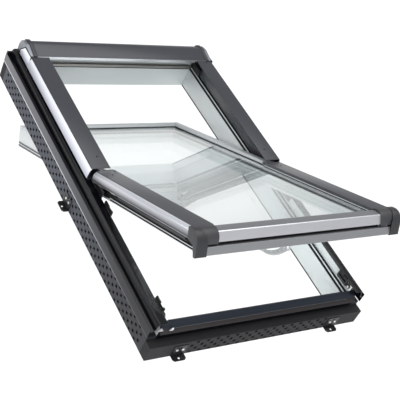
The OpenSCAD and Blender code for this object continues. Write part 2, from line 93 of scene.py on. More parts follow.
def rest_box(node):
    """Lowest and highest corner of a frame node in millimetres."""
    low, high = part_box(node)
    return [c / MM for c in low], [c / MM for c in high]


print("open by", round(math.degrees(open_angle), 1), "degrees about", tuple(round(c, 3) for c in pivot))

# %% [markdown]
# ## Node groups for shared effects
# Real surfaces are never one flat colour. Three effects turn up in the finishes here, so each is built
# once as a node group with its own inputs. Fine grain is a small change of shade and height, as in powder
# coat or moulded plastic. Streaks are the same noise, stretched along a rolled metal section. The fade
# mixes a bright and a dark colour by how far a point lies along one direction of the object; it paints
# light, shade and reflection into a finish.

# %% Grain and streak groups


def new_group(name, inputs, outputs):
    """An empty shader group with the sockets that are asked for."""
    group = bpy.data.node_groups.new(name, "ShaderNodeTree")
    for label, kind, value in inputs:
        socket = group.interface.new_socket(name=label, in_out="INPUT", socket_type=kind)
        socket.default_value = value
    for label, kind in outputs:
        group.interface.new_socket(name=label, in_out="OUTPUT", socket_type=kind)
    return group, group.nodes.new("NodeGroupInput"), group.nodes.new("NodeGroupOutput")


def map_range(nodes, links, value, low, high):
    """Spreads a value from 0..1 to low..high."""
    node = nodes.new("ShaderNodeMapRange")
    links.new(value, node.inputs["Value"])
    node.inputs["To Min"].default_value = low
    node.inputs["To Max"].default_value = high
    return node.outputs["Result"]


def pattern_group(name, stretch):
    """Noise on object coordinates that shades a colour and gives a height."""
    group, given, out = new_group(
        name,
        [
            ("Color", "NodeSocketColor", (0.5, 0.5, 0.5, 1)),
            ("Scale", "NodeSocketFloat", 400.0),
            ("Amount", "NodeSocketFloat", 0.1),
        ],
        [("Color", "NodeSocketColor"), ("Height", "NodeSocketFloat"), ("Rough", "NodeSocketFloat")],
    )
    nodes, links = group.nodes, group.links
    coords = nodes.new("ShaderNodeTexCoord")
    mapping = nodes.new("ShaderNodeMapping")
    mapping.inputs["Scale"].default_value = stretch
    noise = nodes.new("ShaderNodeTexNoise")
    noise.inputs["Detail"].default_value = 4
    links.new(coords.outputs["Object"], mapping.inputs["Vector"])
    links.new(mapping.outputs["Vector"], noise.inputs["Vector"])
    links.new(given.outputs["Scale"], noise.inputs["Scale"])
    centred = nodes.new("ShaderNodeMath")
    centred.operation = "SUBTRACT"
    centred.inputs[1].default_value = 0.5
    links.new(noise.outputs["Fac"], centred.inputs[0])
    scaled = nodes.new("ShaderNodeMath")
    scaled.operation = "MULTIPLY_ADD"
    scaled.inputs[2].default_value = 1.0
    links.new(centred.outputs["Value"], scaled.inputs[0])
    links.new(given.outputs["Amount"], scaled.inputs[1])
    shade = nodes.new("ShaderNodeVectorMath")
    shade.operation = "SCALE"
    links.new(given.outputs["Color"], shade.inputs[0])
    links.new(scaled.outputs["Value"], shade.inputs["Scale"])
    links.new(shade.outputs["Vector"], out.inputs["Color"])
    links.new(noise.outputs["Fac"], out.inputs["Height"])
    links.new(noise.outputs["Fac"], out.inputs["Rough"])
    return group


grain = pattern_group("fine grain", (1, 1, 1))
streaks_x = pattern_group("streaks along x", (0.03, 1, 1))
streaks_y = pattern_group("streaks along y", (1, 0.03, 0.1))
print("groups:", grain.name, streaks_x.name, streaks_y.name)

# %% [markdown]
# The fade needs no noise. A dot product with a direction tells how far along it a point lies, in metres,
# and a smooth step turns that into the mix of the two colours.

# %% The fade group


def make_fade_group():
    """Two colours, mixed by how far a point lies along a direction of the object."""
    group, given, out = new_group(
        "painted light fade along a direction",
        [
            ("Bright", "NodeSocketColor", (0.8, 0.8, 0.8, 1)),
            ("Dark", "NodeSocketColor", (0.1, 0.1, 0.1, 1)),
            ("Direction", "NodeSocketVector", (0, 0, 1)),
            ("Foot", "NodeSocketFloat", 0.0),
            ("Top", "NodeSocketFloat", 0.1),
        ],
        [("Color", "NodeSocketColor")],
    )
    nodes, links = group.nodes, group.links
    coords = nodes.new("ShaderNodeTexCoord")
    along = nodes.new("ShaderNodeVectorMath")
    along.operation = "DOT_PRODUCT"
    links.new(coords.outputs["Object"], along.inputs[0])
    links.new(given.outputs["Direction"], along.inputs[1])
    part = nodes.new("ShaderNodeMapRange")
    part.interpolation_type = "SMOOTHSTEP"
    links.new(along.outputs["Value"], part.inputs["Value"])
    links.new(given.outputs["Foot"], part.inputs["From Min"])
    links.new(given.outputs["Top"], part.inputs["From Max"])
    mix = nodes.new("ShaderNodeMix")
    mix.data_type = "RGBA"
    links.new(part.outputs["Result"], mix.inputs["Factor"])
    links.new(given.outputs["Dark"], mix.inputs["A"])
    links.new(given.outputs["Bright"], mix.inputs["B"])
    links.new(mix.outputs["Result"], out.inputs["Color"])
    return group


fade_group = make_fade_group()
print("group:", fade_group.name)

# %% [markdown]
# ## Finishes
# One function makes every opaque finish. How metallic and how shiny it is stays the same all over, so
# both are set straight on the Principled shader. A group varies the colour and the roughness and gives a
# bump. Powder coat, moulded plastic, foam and foil then differ only in their numbers.

# %% One function for opaque finishes, and the paints


def finish(
    name, color, rough, metal=0.0, group=grain, scale=900.0, amount=0.12, bump=0.02, rough_play=0.08,
    shine=0.5,
):
    """An opaque material: a base colour, a grain and a bump."""
    material = bpy.data.materials.new(name)
    material.use_nodes = True
    nodes, links = material.node_tree.nodes, material.node_tree.links
    shader = nodes["Principled BSDF"]
    shader.inputs["Metallic"].default_value = metal
    shader.inputs["Specular IOR Level"].default_value = shine
    effect = nodes.new("ShaderNodeGroup")
    effect.node_tree = group
    effect.inputs["Color"].default_value = (*color, 1)
    effect.inputs["Scale"].default_value = scale
    effect.inputs["Amount"].default_value = amount
    links.new(effect.outputs["Color"], shader.inputs["Base Color"])
    spread = map_range(nodes, links, effect.outputs["Rough"], rough - rough_play, rough + rough_play)
    links.new(spread, shader.inputs["Roughness"])
    height = nodes.new("ShaderNodeBump")
    height.inputs["Strength"].default_value = bump
    height.inputs["Distance"].default_value = 0.001
    links.new(effect.outputs["Height"], height.inputs["Height"])
    links.new(height.outputs["Normal"], shader.inputs["Normal"])
    material.diffuse_color = (*color, 1)
    return material


white = finish("white plastic", (0.66, 0.69, 0.70), 0.34, scale=1500, amount=0.03, bump=0.01)
grey_white = finish(
    "grey white foil and painted highlight", (0.60, 0.63, 0.65), 0.36, group=streaks_y, scale=500, amount=0.06, bump=0.01
)
cover = finish("anthracite powder coat", (0.058, 0.061, 0.070), 0.34, scale=2200, amount=0.12, bump=0.05)
cover_dark = finish("dark powder coat", (0.034, 0.036, 0.045), 0.34, scale=2200, amount=0.12, bump=0.05)
top_grey = finish("mid grey powder coat", (0.15, 0.155, 0.165), 0.36, scale=1800, amount=0.1, bump=0.04)
sill_paint = finish(
    "blue black sill paint", (0.009, 0.013, 0.022), 0.36, group=streaks_x, scale=120, amount=0.7, shine=0.4
)
nose_paint = finish(
    "brown black sill nose", (0.020, 0.017, 0.018), 0.5, group=streaks_x, scale=160, amount=0.9, shine=0.25
)
black_gloss = finish(
    "black painted channel", (0.003, 0.0035, 0.005), 0.22, group=streaks_y, scale=300, amount=0.2, shine=0.3
)
print("paints:", white.name, grey_white.name, cover.name, cover_dark.name, top_grey.name)

# %% [markdown]
# Rolled and drawn metal has streaks along its section, and plated or cast metal a plain grain. Anodised
# and coated metal is left less than fully metallic, because it also scatters light like paint.

# %% Metals
band = finish(
    "silver anodised band", (0.70, 0.71, 0.75), 0.32, metal=0.75, group=streaks_x, scale=600, amount=0.10
)
band_low = finish(
    "grey anodised band", (0.36, 0.37, 0.39), 0.36, metal=0.7, group=streaks_x, scale=600, amount=0.10
)
rail_metal = finish(
    "bronze grey rail", (0.42, 0.41, 0.39), 0.3, metal=0.5, group=streaks_x, scale=300, amount=0.35
)
steel_black = finish(
    "black coated steel", (0.012, 0.012, 0.014), 0.3, metal=0.2, scale=1200, amount=0.15, bump=0.03, shine=0.4
)
zinc = finish("zinc plate", (0.62, 0.62, 0.61), 0.30, metal=1.0, scale=260, amount=0.25, bump=0.02)
rod_steel = finish(
    "blackened rod steel", (0.05, 0.05, 0.055), 0.3, metal=0.9, group=streaks_y, scale=400, amount=0.3
)
satin = finish(
    "satin silver handle", (0.74, 0.75, 0.77), 0.24, metal=0.75, scale=1500, amount=0.05, bump=0.01
)
spacer_metal = finish("spacer aluminium", (0.70, 0.71, 0.72), 0.35, metal=1.0, scale=800, amount=0.1)
print("metals:", band.name, band_low.name, zinc.name, satin.name)

# %% [markdown]
# Rubber and moulded plastic are nearly black. A low shine keeps the rubber dull, and a stronger bump
# gives the foam its cells.

# %% Plastics, rubber and foam
cap_plastic = finish("dark moulded plastic", (0.026, 0.027, 0.031), 0.40, scale=1400, amount=0.18, bump=0.10)
cap_inner = finish("grey moulded plastic", (0.040, 0.041, 0.046), 0.44, scale=1400, amount=0.2, bump=0.12)
black_plastic = finish(
    "black plastic", (0.008, 0.008, 0.009), 0.38, scale=1200, amount=0.15, bump=0.05, shine=0.35
)
# This black finish is real rubber on the seals, and is also used as painted shade: in the foam pits, in the
# bottom groove, on the inner face of the corner caps and round the hood tongue
rubber_and_painted_shade = finish("black rubber", (0.006, 0.006, 0.007), 0.6, scale=900, amount=0.2, bump=0.05, shine=0.25)
# The sill and head walls of the collar take this darker copy of the foam, as painted shade beside the lit
# side walls
foam_shaded_copy = finish("dark foam, shaded copy", (0.016, 0.016, 0.018), 0.7, scale=260, amount=1.4, bump=0.8, shine=0.3)
washer_grey = finish("grey nylon", (0.25, 0.25, 0.26), 0.5)
print("plastics:", cap_plastic.name, cap_inner.name, black_plastic.name, rubber_and_painted_shade.name)

# %% [markdown]
# The curved side faces of the covers run from bright at the fold to dark at the foot, because each part
# of the curve mirrors another part of the surroundings. Soft lamps alone show little of that here, so
# that reflection is painted into these finishes as a fade. The channel wall and the foam get a painted
# shade that darkens towards the sill, and the foam of the sides is a lighter, lit copy of the foam at the
# ends. The fade follows the piece itself, so it stays put from every side.

# %% Finishes that fade, with painted light and shade


def shaded_side(
    name, bright, dark, row, foot, top, rough=0.28, metal=0.6, scale=900, amount=0.02, bump=0.0
):
    """A finish with painted light and shade: dark at foot and bright at top, measured in mm along a row of a
    matrix.
    """
    material = finish(
        name, bright, rough, metal=metal, scale=scale, amount=amount, bump=bump, rough_play=0.01
    )
    nodes, links = material.node_tree.nodes, material.node_tree.links
    effect = next(node for node in nodes if node.type == "GROUP")
    fade = nodes.new("ShaderNodeGroup")
    fade.node_tree = fade_group
    fade.inputs["Bright"].default_value = (*bright, 1)
    fade.inputs["Dark"].default_value = (*dark, 1)
    fade.inputs["Direction"].default_value = row[:3]
    fade.inputs["Foot"].default_value = foot * MM - row[3]
    fade.inputs["Top"].default_value = top * MM - row[3]
    links.new(fade.outputs["Color"], effect.inputs["Color"])
    return material


OUTWARDS, UP_SLOPE = (0, 0, 1, 0), (0, 1, 0, 0)
CLOSED_HEIGHT = tuple(TILT.inverted()[2])
# The side faces of the covers and hood ends: bright at the fold, dark at the foot, a painted reflection
upper_side = shaded_side(
    "upper side with painted reflection", (0.86, 0.88, 0.94), (0.46, 0.48, 0.56), OUTWARDS, 126, 168, metal=0.2
)
lower_side = shaded_side(
    "satin lower side with painted reflection", (0.80, 0.82, 0.88), (0.045, 0.047, 0.055), CLOSED_HEIGHT, 138, 170
)
hood_side = shaded_side("satin hood side with painted reflection", (0.22, 0.23, 0.26), (0.07, 0.075, 0.09), OUTWARDS, 110, 176)
# The channel wall, its foot and the foam of the side walls darken towards the sill: painted shade
channel_grey = shaded_side(
    "grey channel wall with painted shade", (0.060, 0.063, 0.078), (0.008, 0.009, 0.012), UP_SLOPE, -560, 250,
    metal=0.2, rough=0.3,
)
rim_metal = shaded_side("bright channel foot with painted shade", (0.55, 0.56, 0.60), (0.06, 0.06, 0.07), UP_SLOPE, -560, 250)
foam = shaded_side(
    "grey foam, lit copy with painted shade", (0.052, 0.058, 0.077), (0.014, 0.015, 0.020), UP_SLOPE, -560, 150, metal=0, rough=0.6,
    scale=260, amount=1.3, bump=0.7,
)
print("opaque finishes:", len(bpy.data.materials))

# %% [markdown]
# Glass is a plain Principled shader with full transmission. A pane that throws a dark shadow looks
# wrong, because the path tracer doesn't send lamp light through it. A Light Path node swaps the glass
# for a clear shader on shadow rays only, so the sill and the floor behind it stay bright.

# %% Make the glass


def glass_material(name, tint, tint_shadow):
    """Clear glass that lets light through its shadow."""
    material = bpy.data.materials.new(name)
    material.use_nodes = True
    nodes, links = material.node_tree.nodes, material.node_tree.links
    shader = nodes["Principled BSDF"]
    shader.inputs["Base Color"].default_value = (*tint, 1)
    shader.inputs["Roughness"].default_value = 0.0
    shader.inputs["IOR"].default_value = 1.5
    shader.inputs["Transmission Weight"].default_value = 1.0
    clear = nodes.new("ShaderNodeBsdfTransparent")
    clear.inputs["Color"].default_value = (*tint_shadow, 1)
    path = nodes.new("ShaderNodeLightPath")
    mix = nodes.new("ShaderNodeMixShader")
    links.new(path.outputs["Is Shadow Ray"], mix.inputs["Fac"])
    links.new(shader.outputs["BSDF"], mix.inputs[1])
    links.new(clear.outputs["BSDF"], mix.inputs[2])
    links.new(mix.outputs["Shader"], nodes["Material Output"].inputs["Surface"])
    return material


glass = glass_material("clear glass", (0.955, 0.978, 0.98), (0.93, 0.96, 0.95))
print("glass ready")

# %% [markdown]
# ## Soft edges on the CAD parts
# Nothing real has a perfectly sharp edge: even a sawn plastic section has a lip that catches a line of
# light. Most CAD parts already have the right shape, so a merged copy of each gets a small bevel and
# stands in for it. Flat faces are first joined again, so that the bevel runs along real edges only.

# %% Helpers that select, bevel, smooth and settle


def activate(obj):
    """Makes obj the only selected object."""
    bpy.ops.object.select_all(action="DESELECT")
    obj.select_set(True)
    bpy.context.view_layer.objects.active = obj


def apply_bevel(obj, width, segments=2, angle=38):
    """A bevel on every edge sharper than the angle, applied."""
    bevel = obj.modifiers.new("soft edge", "BEVEL")
    bevel.width = width * MM
    bevel.segments = segments
    bevel.limit_method = "ANGLE"
    bevel.angle_limit = math.radians(angle)
    bevel.use_clamp_overlap = True
    activate(obj)
    bpy.ops.object.modifier_apply(modifier=bevel.name)


def smooth(obj, angle=32):
    """Smooth shading that keeps edges sharper than the angle."""
    activate(obj)
    bpy.ops.object.shade_smooth_by_angle(angle=math.radians(angle))


def settle(obj, name, body, materials, nodes=()):
    """Names a finished piece, gives it its materials and hands it to its body."""
    obj.name = name
    obj.data.name = name
    if not isinstance(materials, (list, tuple)):
        materials = [materials]
    while len(obj.data.materials) < len(materials):
        obj.data.materials.append(None)
    for index, material in enumerate(materials):
        obj.data.materials[index] = material
    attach(obj, body)
    if nodes:
        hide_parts(*nodes)
    return obj


print("helpers ready for", len(frame["nodes"]), "nodes")

# %% [markdown]
# A CAD node's mesh is loose triangles. A copy of it is merged, and triangles that lie in one plane are
# joined, before the bevel. A rule can then paint single faces by their place.

# %% Copies with soft edges


def copy_of(node):
    """A merged copy of a CAD node's mesh, with its flat faces joined."""
    mesh = frame["nodes"][node].data.copy()
    mesh.materials.clear()
    obj = bpy.data.objects.new(node + "_copy", mesh)
    bpy.context.scene.collection.objects.link(obj)
    activate(obj)
    bpy.ops.object.mode_set(mode="EDIT")
    bpy.ops.mesh.select_all(action="SELECT")
    bpy.ops.mesh.remove_doubles(threshold=0.000005)
    bpy.ops.mesh.dissolve_limited(angle_limit=math.radians(1))
    bpy.ops.object.mode_set(mode="OBJECT")
    return obj


def paint_faces(obj, rule):
    """Gives each face the material index that the rule finds from its centre, in mm, and normal."""
    for polygon in obj.data.polygons:
        polygon.material_index = rule(polygon.center / MM, polygon.normal)


def soften(node, body, materials, width=0.7, rule=None, segments=2):
    """A soft-edged copy that stands for one CAD node. What moves is worked on in its closed place."""
    obj = copy_of(node)
    if body != FRAME:
        obj.data.transform(TILT.inverted())
    apply_bevel(obj, width, segments)
    smooth(obj)
    settle(obj, node + "_soft", body, materials, [node])
    if rule:
        paint_faces(obj, rule)
    if body != FRAME:
        obj.data.transform(TILT)


print("soft copies ready")

# %% [markdown]
# The white frame and sash are welded from plastic sections, so their edges are rounded by about a
# millimetre. The copies keep the mitred corners of the sash and the square joints of the frame.

# %% Soften the frame and sash sections


def outside_rule(centre, normal):
    """1 on the weather side of the head and sill, which is black, and 0 on the white room side."""
    return 1 if abs(centre.y) > 588 and abs(normal.y) > 0.5 else 0


for node in ("frame_head", "frame_sill"):
    soften(node, FRAME, [white, black_gloss], 1.2, segments=3, rule=outside_rule)


def jamb_rule(centre, normal):
    """1 on the ends of the jambs, 0 elsewhere."""
    return 1 if abs(centre.y) > 555 and abs(normal.y) > 0.5 else 0


for node in ("frame_jamb_left", "frame_jamb_right"):
    soften(node, FRAME, [white, black_gloss], 1.2, segments=3, rule=jamb_rule)
for node in ("sash_stile_left", "sash_stile_right", "sash_top_rail", "sash_bottom_rail"):
    soften(node, SASH, white, 1.2, segments=3)
for node in ("bead_left", "bead_right", "bead_top"):
    soften(node, SASH, grey_white, 2.0, segments=4)
print("softened the plastic sections")

# %% [markdown]
# Seals, hinges, rods and screws are small, so their bevel is finer. Each rides on the body that carries
# it: a rod moves with its own lock and not with the sash. The head seal sits in a rail of bare metal,
# which a rule tells from the rubber by its height.

# %% Soften the seals, strips, locks and hinges


def head_seal_rule(centre, normal):
    """1 on the metal rail that carries the seal at the head, 0 on the rubber."""
    return 1 if centre.y > 560 and centre.z > 89 else 0


soften("frame_seal", FRAME, [rubber_and_painted_shade, rail_metal], 1.5, segments=3, rule=head_seal_rule)
for node in ("inner_gasket", "outer_gasket", "edge_sealant"):
    soften(node, SASH, rubber_and_painted_shade, 0.3)
for node in ("rebate_strip_bottom", "cover_clips"):
    soften(node, SASH, black_plastic, 1.0)
for node in ("hinge_plate_left", "hinge_plate_right"):
    soften(node, FRAME, steel_black, 0.5)
for node in ("sash_hinge_left", "sash_hinge_right"):
    soften(node, SASH, steel_black, 0.5)
soften("pivot_washers", FRAME, washer_grey, 0.3)
soften("spacer_bar", SASH, spacer_metal, 0.3)
soften("lock_gearbox", SASH, zinc, 0.5)
soften("handle_rose", SASH, satin, 1.2, segments=3)
soften("lock_keeps", FRAME, black_plastic, 0.8)
soften("upper_cover_screws", FRAME, steel_black, 0.3)
soften("lower_cover_screws", SASH, steel_black, 0.3)
soften("bracket_screws", FRAME, zinc, 0.3)
soften("brackets", FRAME, steel_black, 0.5)
for side in ("left", "right"):
    soften("bottom_rod_" + side, "bottom_lock_" + side, zinc, 0.4)
    soften("stile_rod_" + side, "side_lock_" + side, rod_steel, 0.4)
print("softened the fittings")

# %% [markdown]
# The hood, the sill and the head channel are folded sheets, so their bevels stand for the radius of the
# fold. The hood has a bright lip along its front, and the nose of the sill is browner than its top.

# %% Soften the sheets
soften("head_channel", FRAME, black_gloss, 0.5)


def nose_rule(centre, normal):
    """1 on the sloping nose of the sill sheet, 0 on its top."""
    return 1 if centre.y < -590.5 else 0


soften("sill_cladding", FRAME, [sill_paint, nose_paint], 1.0, rule=nose_rule)
for side in ("left", "right"):
    soften("upper_stop_" + side, FRAME, cover_dark, 0.8)


def lip_rule(centre, normal):
    """1 on the front lip of the hood, 0 on the rest."""
    return 1 if normal.y < -0.8 and centre.y < 511 else 0


soften("hood", FRAME, [cover_dark, band], 0.5, rule=lip_rule)
print("softened the sheets")

# %% [markdown]
# ## Bars from an outline
# Most metal and plastic trim on a window is an extrusion: one outline, pulled along a line. The helper
# starts from a filled circle with as many corners as the outline needs, moves them onto the outline
# and extrudes it. Corners can carry a radius, which is how a folded sheet or a moulded cap looks.

# %% Outline and bar helpers


def rounded(corners, steps=5):
    """Outline of (a, b, radius) corners, with each radius turned into a short arc."""
    outline = []
    for index, (a, b, radius) in enumerate(corners):
        here = Vector((a, b))
        if radius == 0:
            outline.append(tuple(here))
            continue
        before = Vector(corners[index - 1][:2]) - here
        after = Vector(corners[(index + 1) % len(corners)][:2]) - here
        half = before.angle(after) / 2
        reach = min(radius / math.tan(half), before.length * 0.75, after.length * 0.75)
        radius = reach * math.tan(half)
        middle = here + (before.normalized() + after.normalized()).normalized() * (radius / math.sin(half))
        first = here + before.normalized() * reach - middle
        last = here + after.normalized() * reach - middle
        start = math.atan2(first.y, first.x)
        sweep = (math.atan2(last.y, last.x) - start + math.pi) % (2 * math.pi) - math.pi
        for step in range(steps + 1):
            angle = start + sweep * step / steps
            outline.append((middle.x + radius * math.cos(angle), middle.y + radius * math.sin(angle)))
    return outline


def bar(outline, ends, axis="X"):
    """A solid bar along X or Y. The outline is (y, z) or (x, z) in millimetres."""
    bpy.ops.object.select_all(action="DESELECT")
    bpy.ops.mesh.primitive_circle_add(vertices=len(outline), radius=1, fill_type="NGON")
    obj = bpy.context.object
    start, end = ends
    for vertex, (a, b) in zip(obj.data.vertices, outline):
        vertex.co = (start * MM, a * MM, b * MM) if axis == "X" else (a * MM, start * MM, b * MM)
    length = (end - start) * MM
    bpy.ops.object.mode_set(mode="EDIT")
    bpy.ops.mesh.select_all(action="SELECT")
    move = (length, 0, 0) if axis == "X" else (0, length, 0)
    bpy.ops.mesh.extrude_region_move(TRANSFORM_OT_translate={"value": move})
    bpy.ops.mesh.select_all(action="SELECT")
    bpy.ops.mesh.normals_make_consistent(inside=False)
    bpy.ops.object.mode_set(mode="OBJECT")
    return obj


print("outline and bar helpers ready")

# %% [markdown]
# Small plates start as a cube whose corners are moved to their places. A right-hand piece is the left
# one, mirrored. Mirroring turns the faces inside out, so they are flipped back. Shapes that were made
# apart but belong to one piece are joined.

# %% Blocks, right-hand pieces and joined pieces


def block(low, high):
    """A box between two corners in millimetres."""
    bpy.ops.object.select_all(action="DESELECT")
    bpy.ops.mesh.primitive_cube_add(size=1)
    obj = bpy.context.object
    for vertex in obj.data.vertices:
        for i in range(3):
            vertex.co[i] = (high[i] if vertex.co[i] > 0 else low[i]) * MM
    return obj


def on_side(obj, sign):
    """The piece as built for the left, or mirrored to the right with its faces outwards again."""
    if sign > 0:
        obj.data.transform(Matrix.Scale(-1, 4, (1, 0, 0)))
        obj.data.flip_normals()
    return obj


def join(first, *others):
    """Joins meshes into the first one."""
    activate(first)
    for other in others:
        other.select_set(True)
    bpy.ops.object.join()
    return first


print("block helpers ready")

# %% [markdown]
# The side covers are folded sheets. Their flat tops are dark. Their outer sides are satin, bulge
# slightly and end in a thin lip, and carry a painted reflection, bright at the fold and dark at the foot.
# On the sash covers the lip is painted pale as a painted highlight. The outline is drawn once as the outer
# line, and the inner line is worked out from it, so the sheet is equally thick all round. The lower covers
# belong to the sash and the upper ones to the frame.

# %% The outline of a folded sheet


def sheet_cover(outer, thick=1.6):
    """Outline of a folded sheet: the outer line, then the same line moved inwards."""
    inner = []
    for index, (a, b, radius) in enumerate(outer):
        before = Vector(outer[max(index - 1, 0)][:2])
        after = Vector(outer[min(index + 1, len(outer) - 1)][:2])
        here = Vector((a, b))
        first = (here - before).normalized() if index else (after - here).normalized()
        last = (after - here).normalized() if index < len(outer) - 1 else first
        across = Vector((first.y, -first.x)) + Vector((last.y, -last.x))
        shift = across * (2 * thick / across.length_squared)
        inner.append((a + shift.x, b + shift.y, max(radius - thick, 0)))
    return rounded(outer + inner[::-1], 6)


def side_cover(outer, ends, sign, split, lip):
    """A folded cover along Y. Beyond split its side face takes a second material, with a painted reflection.
    Where a lip height is given, the lip and a line on the inner edge take a third, a painted highlight, and
    the inner edge below that line a fourth, the seal.
    """
    obj = bar(sheet_cover(outer), ends, axis="Y")
    apply_bevel(obj, 0.4, 2, 50)
    for polygon in obj.data.polygons:
        height = polygon.center.z / MM
        side_face = polygon.center.x < -split * MM and abs(polygon.normal.y) < 0.5
        # Index 1: side face with painted reflection; index 2: painted highlight on the lip and the inner edge
        # line; index 3: the seal
        polygon.material_index = 0 if not side_face else 2 if height < lip else 1
        if polygon.normal.x > 0.9 and height < seal_top and lip:
            polygon.material_index = 3 if height < seal_foot else 2
    return on_side(obj, sign)


print("cover helpers ready")

# %% [markdown]
# The inner edge of the sash cover is painted as a rubber seal, with a pale line over it that is a painted
# highlight. The cover runs on behind the corner cap, so that no gap shows there. The frame cover is the same
# kind of fold, and reaches lower.

# %% The four side covers
lower_low, lower_high = closed_box("lower_cover_left")
upper_low, upper_high = rest_box("upper_cover_left")
top_z = lower_high[2]
seal_foot, seal_top = 158, 160.5
into_cap = 20
for side, sign in SIDES:
    outer, inner = lower_low[0], lower_high[0]
    line = [
        (inner, 154.5, 0),
        (inner, seal_foot, 0),
        (inner - 0.2, seal_top, 0),
        (inner - 0.4, top_z, 1.5),
        (inner - 30, top_z + 0.5, 20),
        (outer + 14, top_z - 0.4, 6),
        (outer + 4, top_z - 9, 10),
        (outer, top_z - 22, 22),
        (outer + 1, 139, 1),
        (outer + 3, 137.5, 0),
    ]
    obj = side_cover(line[::-1], (lower_low[1] - into_cap, lower_high[1]), sign, abs(outer) - 12, 139.4)
    smooth(obj, 40)
    obj.data.transform(TILT)
    coats = [cover, lower_side, grey_white, rubber_and_painted_shade]
    settle(obj, "sash_cover_" + side, SASH, coats, ["lower_cover_" + side])
    outer, inner = upper_low[0], upper_high[0]
    line = [
        (inner, 167, 0),
        (inner, top_z, 1.2),
        (outer + 8, top_z, 4),
        (outer + 3, top_z - 10, 12),
        (outer, 130, 1.5),
        (outer + 2, 128.2, 0),
    ]
    obj = side_cover(line[::-1], (upper_low[1], upper_high[1]), sign, abs(outer) - 7, 0)
    smooth(obj, 40)
    coats = [cover_dark, upper_side]
    settle(obj, "frame_cover_" + side, FRAME, coats, ["upper_cover_" + side])
print("covers", round(lower_high[1] - lower_low[1]), "and", round(upper_high[1] - upper_low[1]), "mm long")

# %% [markdown]
# The bottom cover is two extrusions, one over the other with a dark groove between them. The lower band
# is longer, and its ends run in behind the corner caps. The faces of the groove are painted black with the
# rubber finish by their place, as painted shade, so one joined piece carries silver, grey and black.

# %% Bottom cover
cover_low, cover_high = closed_box("bottom_cover")
back_y = cover_high[1]
behind_cap = 42
upper_band = bar(
    rounded(
        [
            (back_y, 154.5, 0),
            (back_y, 166, 0.6),
            (-599, 161, 1.2),
            (-601.5, 158.5, 1.2),
            (-606.5, 131.5, 1),
            (-599, 129.5, 0.5),
            (-597, 122, 0.5),
            (-587, 122, 0),
            (-584, 146, 1),
            (-579, 154.5, 0),
        ],
        3,
    ),
    (cover_low[0], cover_high[0]),
)
lower_band = bar(
    rounded(
        [
            (-584, 121.4, 0),
            (-609, 121.4, 0.8),
            (-614, 99, 1),
            (-611, 99, 0.8),
            (-606, 117, 1),
            (-584, 117, 0),
        ],
        3,
    ),
    (cover_low[0] - behind_cap, cover_high[0] + behind_cap),
)
band_coats = [band, top_grey, rubber_and_painted_shade, band_low]
for obj in (upper_band, lower_band):
    for material in band_coats:
        obj.data.materials.append(material)
for polygon in upper_band.data.polygons:
    centre = polygon.center / MM
    if centre.z > 160.5:
        polygon.material_index = 1
    # The groove faces are painted black: painted shade
    elif centre.z < 131 or centre.y > -598:
        polygon.material_index = 2
for polygon in lower_band.data.polygons:
    polygon.material_index = 3
piece = join(upper_band, lower_band)
smooth(piece, 40)
piece.data.transform(TILT)
settle(piece, "sash_bottom_bands", SASH, band_coats, ["bottom_cover"])
print("bands", round(cover_high[0] - cover_low[0]), "mm wide")

# %% [markdown]
# The side channels carry rain past the window. Each has a rounded ridge beside the sash, a gutter and a
# grey outer wall with a bright foot; wall and foot darken towards the sill as painted shade. It is one
# closed outline, pulled along Y, so the gutter has a real floor, and a block closes its upper end.

# %% Side channels
channel_low, channel_high = rest_box("side_channel_left")


def side_channel(sign):
    """One gutter channel, built on the left and mirrored for the right."""
    wall, ridge = channel_low[0], channel_low[0] + 20
    inner_x = channel_high[0]
    high = channel_high[2]
    section = [
        (inner_x, high - 1.6, 0),
        (inner_x, high, 0.8),
        (ridge + 1, high, 9),
        (ridge - 6, 97, 5),
        (wall + 2, 91, 1.5),
        (wall + 1.6, 103, 0.6),
        (wall, 103, 0.6),
        (wall, 73, 0),
        (wall, 68.4, 0.3),
        (wall + 1.6, 68.4, 0.3),
        (wall + 1.6, 88, 1),
        (ridge - 4, 94, 5),
        (ridge + 3, high - 2.2, 6),
    ]
    obj = bar(rounded(section, 7), (channel_low[1], channel_high[1]), axis="Y")
    end = block((wall + 0.4, channel_high[1] - 7, 69), (ridge + 6, channel_high[1] - 0.4, 112))
    obj = join(obj, end)
    apply_bevel(obj, 0.4, 2, 60)
    for polygon in obj.data.polygons:
        outside = polygon.center.x < (wall + 0.9) * MM
        foot = outside and polygon.center.z < 73 * MM
        polygon.material_index = 2 if foot else 1 if outside else 0
    return on_side(obj, sign)


for side, sign in SIDES:
    obj = side_channel(sign)
    smooth(obj, 45)
    settle(
        obj, "gutter_channel_" + side, FRAME, [black_gloss, channel_grey, rim_metal],
        ["side_channel_" + side],
    )
print("channels", round(channel_high[1] - channel_low[1]), "mm long")

# %% [markdown]
# The strip on each stile of the sash closes on the frame seal. It is an extruded rubber profile with a
# lip at its top and foot and two ribs between them, and the outermost faces of all four are painted pale as
# painted highlights.

